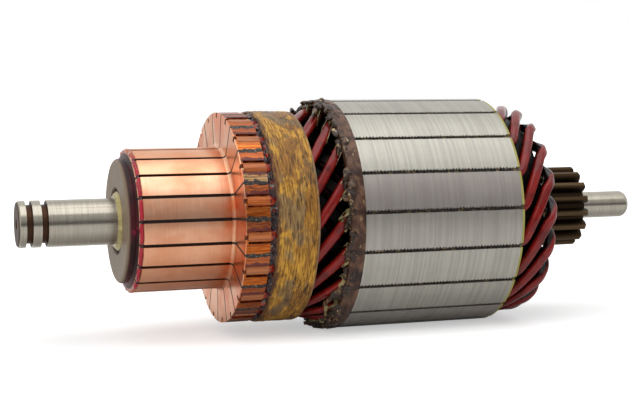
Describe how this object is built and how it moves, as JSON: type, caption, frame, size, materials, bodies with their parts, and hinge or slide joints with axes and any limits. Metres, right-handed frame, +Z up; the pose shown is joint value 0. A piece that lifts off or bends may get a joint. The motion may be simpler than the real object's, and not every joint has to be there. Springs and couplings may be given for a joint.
{
  "type": "starter motor armature",
  "caption": "Wound DC armature with a copper commutator, glass banding, laminated core, hairpin coils and a shaft with a sun gear and pilot pin.",
  "frame": {"origin": "middle of the commutator-end journal, on the shaft's axis", "axes": "+X along the shaft from the commutator to the sun gear and pilot pin, +Z up as the shaft lies level"},
  "size_m": [0.1746, 0.0614, 0.0615],
  "materials": {
    "shaft_steel": "ground and polished steel, dark hardened gear teeth",
    "bush_steel": "yellow passivated steel with a staked lip",
    "phenolic": "brown-grey moulding with dark red varnish on the rim",
    "copper": "fine-turned copper",
    "mica": "dark built-up mica",
    "glass_band": "resin-soaked glass fibre, amber with dark stains",
    "sleeve_paper": "varnished paper tube",
    "lamination_steel": "turned electrical steel with visible sheets",
    "end_fibre": "brown fibre under varnish",
    "rear_fibre": "yellow-green fibre sheet",
    "slot_paper": "olive-brown varnished slot paper",
    "enamelled_copper": "deep red enamel and varnish on copper"
  },
  "bodies": {
    "root": {"armature_shaft": "shaft_steel", "commutator_bush": "bush_steel", "commutator_hub": "phenolic", "commutator_bar_01": "copper", "commutator_bar_02": "copper", "commutator_bar_03": "copper", "commutator_bar_04": "copper", "commutator_bar_05": "copper", "commutator_bar_06": "copper", "commutator_bar_07": "copper", "commutator_bar_08": "copper", "commutator_bar_09": "copper", "commutator_bar_10": "copper", "commutator_bar_11": "copper", "commutator_bar_12": "copper", "commutator_bar_13": "copper", "commutator_bar_14": "copper", "commutator_bar_15": "copper", "commutator_bar_16": "copper", "commutator_bar_17": "copper", "commutator_bar_18": "copper", "commutator_bar_19": "copper", "mica_segments": "mica", "banding_ring": "glass_band", "shaft_sleeve": "sleeve_paper", "lamination_stack": "lamination_steel", "front_end_insulator": "end_fibre", "rear_end_insulator": "rear_fibre", "slot_liners": "slot_paper", "hairpin_coil_01": "enamelled_copper", "hairpin_coil_02": "enamelled_copper", "hairpin_coil_03": "enamelled_copper", "hairpin_coil_04": "enamelled_copper", "hairpin_coil_05": "enamelled_copper", "hairpin_coil_06": "enamelled_copper", "hairpin_coil_07": "enamelled_copper", "hairpin_coil_08": "enamelled_copper", "hairpin_coil_09": "enamelled_copper", "hairpin_coil_10": "enamelled_copper", "hairpin_coil_11": "enamelled_copper", "hairpin_coil_12": "enamelled_copper", "hairpin_coil_13": "enamelled_copper", "hairpin_coil_14": "enamelled_copper", "hairpin_coil_15": "enamelled_copper", "hairpin_coil_16": "enamelled_copper", "hairpin_coil_17": "enamelled_copper", "hairpin_coil_18": "enamelled_copper", "hairpin_coil_19": "enamelled_copper"}
  },
  "joints": []
}
